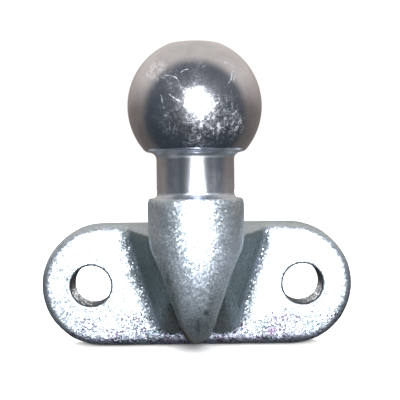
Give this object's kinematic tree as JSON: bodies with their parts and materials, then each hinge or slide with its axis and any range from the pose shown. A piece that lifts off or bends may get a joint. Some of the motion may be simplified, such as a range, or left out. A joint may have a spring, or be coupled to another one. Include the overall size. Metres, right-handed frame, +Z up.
{
  "type": "flange tow ball",
  "caption": "Forged steel tow ball on a bolt-on flange: a turned ball and neck above a round stem that curves back into a wedge-shaped gusset and an oval plate drilled for bolts.",
  "frame": {"origin": "midway between the two bolt holes, on the flange's flat back face", "axes": "+X along the flange from hole to hole, +Y through the bolt holes from the ball side to the vehicle side, +Z up towards the ball"},
  "size_m": [0.1338, 0.081, 0.1209],
  "materials": {
    "zinc_steel": "bright zinc plate: smooth and reflective where turned, grainy where forged and shot-blasted"
  },
  "bodies": {
    "root": {"tow_ball": "zinc_steel"}
  },
  "joints": []
}
